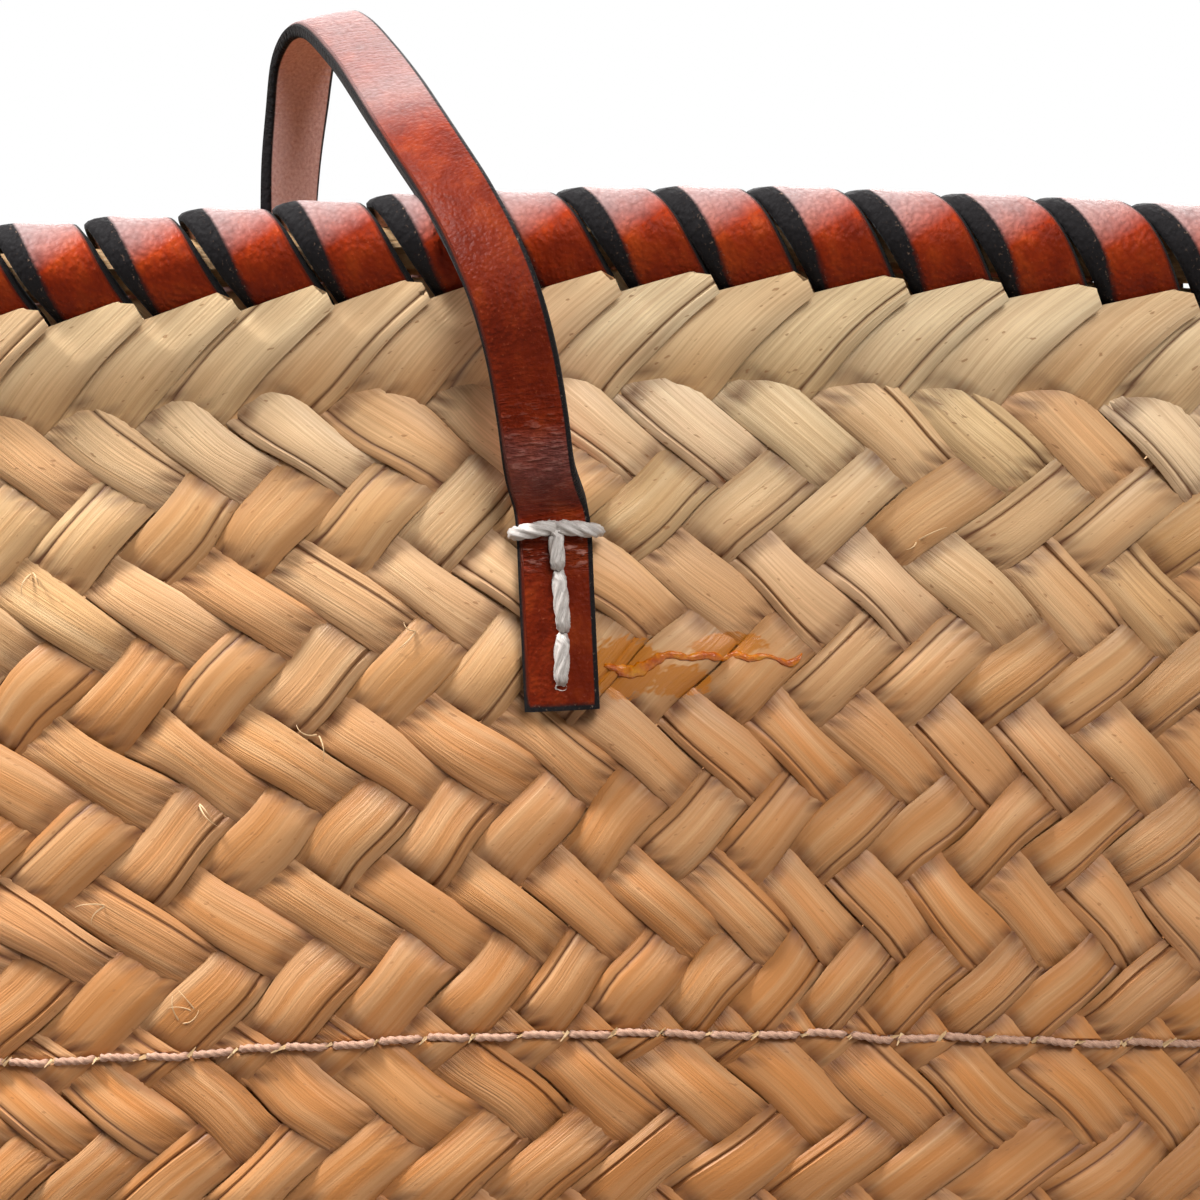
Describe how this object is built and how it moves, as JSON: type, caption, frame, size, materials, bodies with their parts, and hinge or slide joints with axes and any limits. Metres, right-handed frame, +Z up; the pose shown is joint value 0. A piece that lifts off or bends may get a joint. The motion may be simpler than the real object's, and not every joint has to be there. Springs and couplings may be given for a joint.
{
  "type": "plaited palm-leaf shoulder bag",
  "caption": "Open oval basket bag of sewn palm plait with a leather-laced rim and flat leather shoulder straps sewn to its front and back.",
  "frame": {"origin": "centre of the base's underside, on the ground", "axes": "+X along the bag's length, the front wall faces -Y, +Z up"},
  "size_m": [0.4696, 0.2134, 0.3183],
  "materials": {
    "palm_plait_base": "split palm leaf, plaited, worn and warm toned",
    "palm_plait_lower": "split palm leaf, plaited in a twill, warm toned",
    "palm_plait_middle": "split palm leaf, plaited in a twill, straw toned",
    "palm_plait_upper": "split palm leaf, plaited in a twill, cream to straw toned",
    "palm_core": "bundled palm leaf under the lace",
    "lace_leather": "cognac leather with grain, dyed dark edges",
    "strap_leather": "cognac leather with fine grain, dyed dark edges, pinkish flesh side",
    "waxed_thread": "white waxed plied cord",
    "seam_twine": "twisted palm-fibre twine, taupe"
  },
  "bodies": {
    "bag": {"base_plait": "palm_plait_base", "lower_plait": "palm_plait_lower", "middle_plait": "palm_plait_middle", "upper_plait": "palm_plait_upper", "rim_core": "palm_core", "rim_lacing": "lace_leather", "upper_seam_twine": "seam_twine", "lower_seam_twine": "seam_twine", "base_seam_twine": "seam_twine", "front_right_strap_tab": "strap_leather", "front_left_strap_tab": "strap_leather", "back_right_strap_tab": "strap_leather", "back_left_strap_tab": "strap_leather", "front_right_tab_thread": "waxed_thread", "front_left_tab_thread": "waxed_thread", "back_right_tab_thread": "waxed_thread", "back_left_tab_thread": "waxed_thread"},
    "front_risers": {"front_right_riser": "strap_leather", "front_left_riser": "strap_leather"},
    "front_grip": {"front_grip": "strap_leather"},
    "back_handle": {"back_right_riser": "strap_leather", "back_left_riser": "strap_leather", "back_grip": "strap_leather"}
  },
  "joints": [
    {"name": "front_strap_swing", "type": "hinge", "parent": "bag", "child": "front_risers", "pos_m": [0, -0.09627, 0.24315], "axis": [1, 0, 0], "range_deg": [0, 150]},
    {"name": "front_strap_unfold", "type": "hinge", "parent": "front_risers", "child": "front_grip", "pos_m": [0, -0.04585, 0.31835], "axis": [1, 0, 0], "range_deg": [0, 165]},
    {"name": "back_strap_swing", "type": "hinge", "parent": "bag", "child": "back_handle", "pos_m": [0, 0.09627, 0.24315], "axis": [1, 0, 0], "range_deg": [0, 160]}
  ]
}
